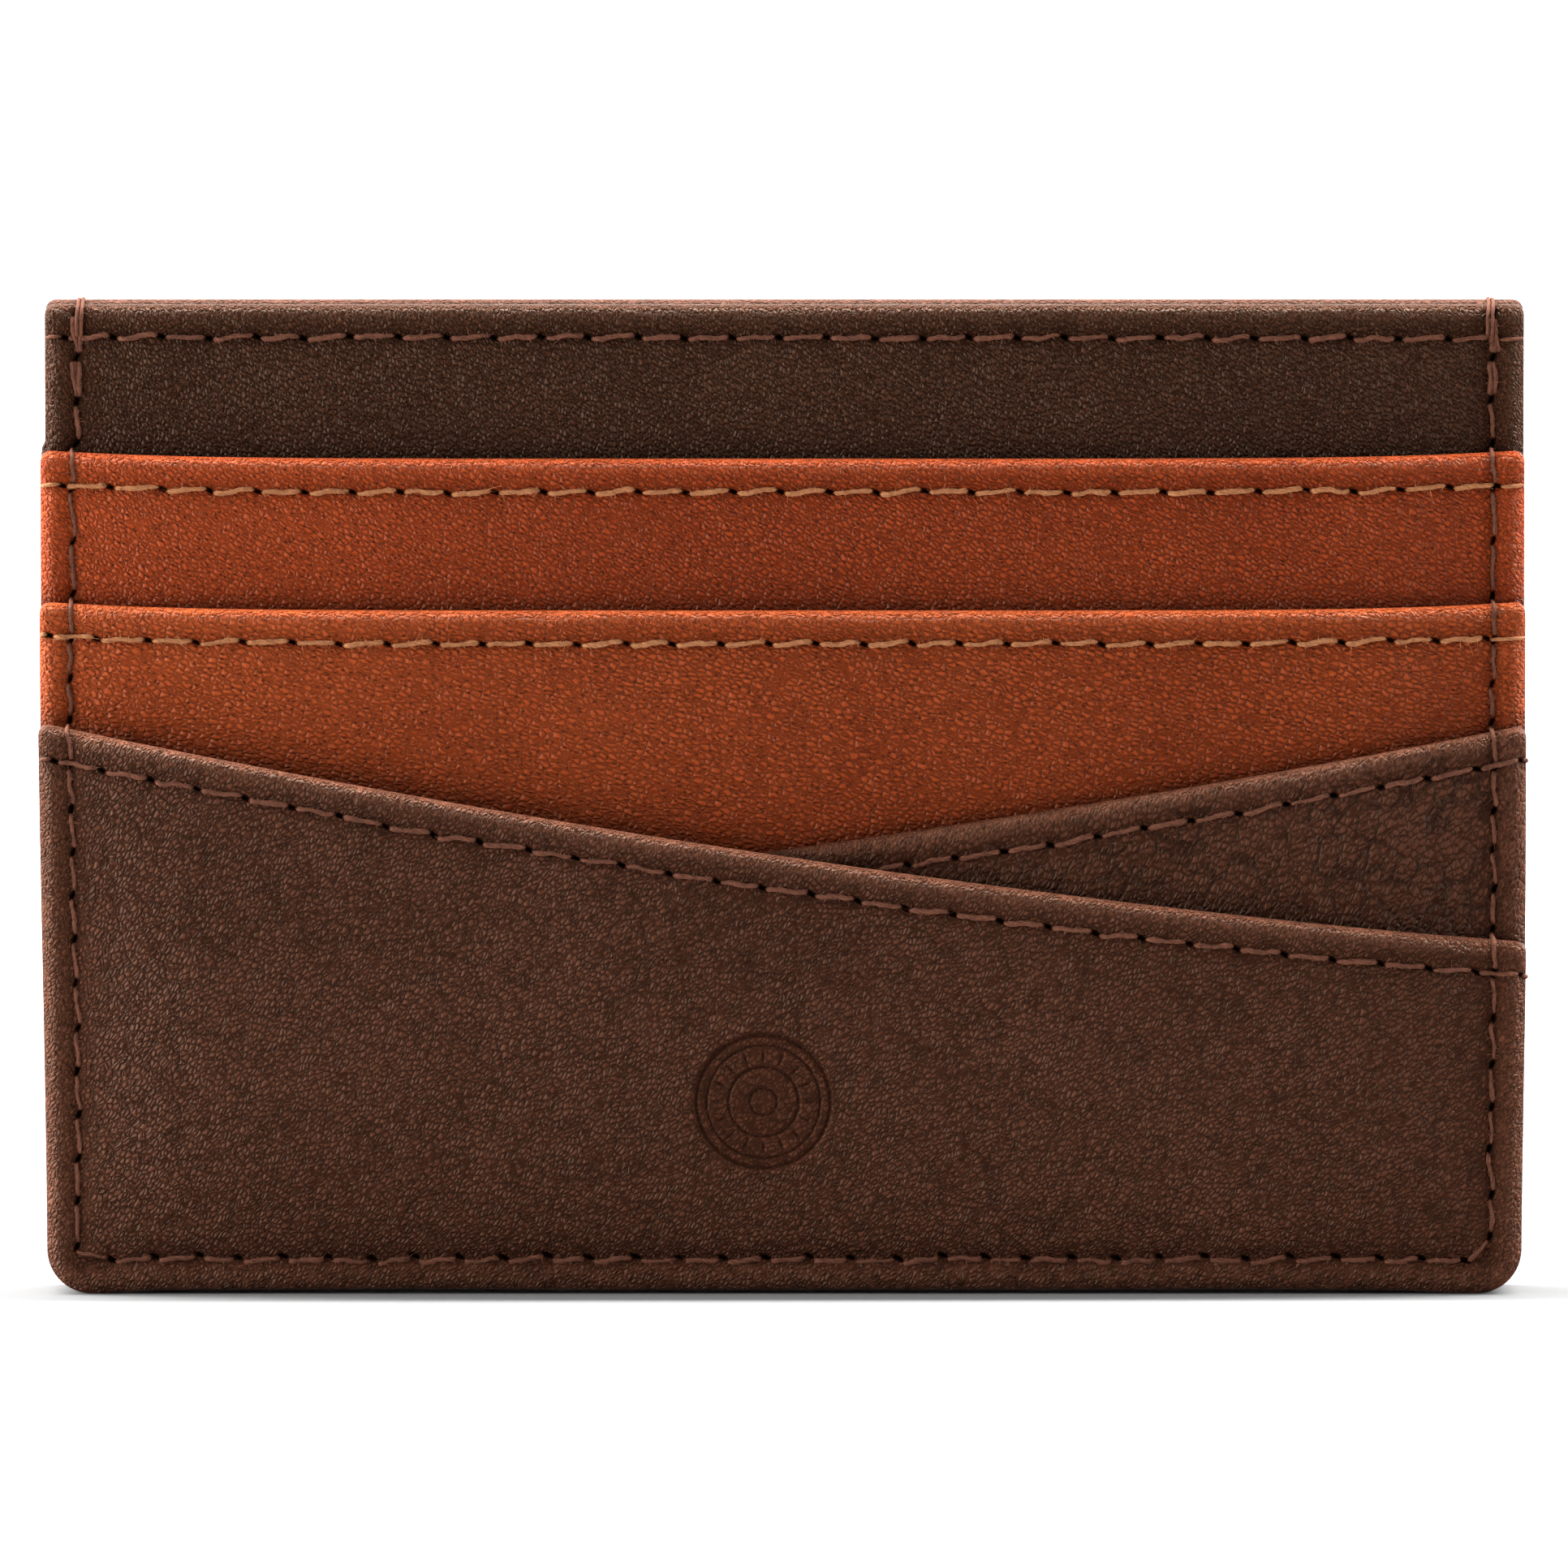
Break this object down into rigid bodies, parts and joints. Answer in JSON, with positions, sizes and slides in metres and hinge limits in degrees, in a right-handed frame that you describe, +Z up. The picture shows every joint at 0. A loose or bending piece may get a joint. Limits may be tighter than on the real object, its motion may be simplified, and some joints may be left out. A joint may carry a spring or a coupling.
{
  "type": "card holder wallet",
  "caption": "Slim leather card holder with two straight card slots, two slanting front pockets and an open-topped centre pocket, stitched along the sides and foot.",
  "frame": {"origin": "middle of the bottom edge, halfway through the thickness", "axes": "+Z up the height, +X along the width, the front with the card slots looks to -Y"},
  "size_m": [0.1, 0.0082, 0.067],
  "materials": {
    "front_pocket_leather": "satin pull-up leather, fine pores",
    "angled_pocket_leather": "satin pull-up leather, creased grain",
    "lower_slot_leather": "satin leather, net-like grain",
    "upper_slot_leather": "satin leather, net-like grain",
    "front_panel_leather": "satin pebbled leather",
    "back_panel_leather": "satin pebbled leather",
    "lining_cloth": "thin matt twill",
    "brown_thread": "spun polyester thread",
    "tan_thread": "spun polyester thread"
  },
  "bodies": {
    "root": {"front_pocket_face": "front_pocket_leather", "front_pocket_hem": "front_pocket_leather", "angled_pocket_face": "angled_pocket_leather", "angled_pocket_hem": "angled_pocket_leather", "lower_slot_face": "lower_slot_leather", "lower_slot_hem": "lower_slot_leather", "lower_slot_lining": "lining_cloth", "upper_slot_face": "upper_slot_leather", "upper_slot_hem": "upper_slot_leather", "upper_slot_lining": "lining_cloth", "front_panel": "front_panel_leather", "front_panel_lining": "lining_cloth", "center_pocket_hem": "front_panel_leather", "back_panel": "back_panel_leather", "back_panel_lining": "lining_cloth", "front_pocket_topstitch": "brown_thread", "angled_pocket_topstitch": "brown_thread", "lower_slot_topstitch": "tan_thread", "upper_slot_topstitch": "tan_thread", "upper_slot_stop_stitch": "brown_thread", "front_panel_topstitch": "brown_thread", "back_panel_topstitch": "brown_thread", "perimeter_stitch_front": "brown_thread", "perimeter_stitch_back": "brown_thread"}
  },
  "joints": []
}
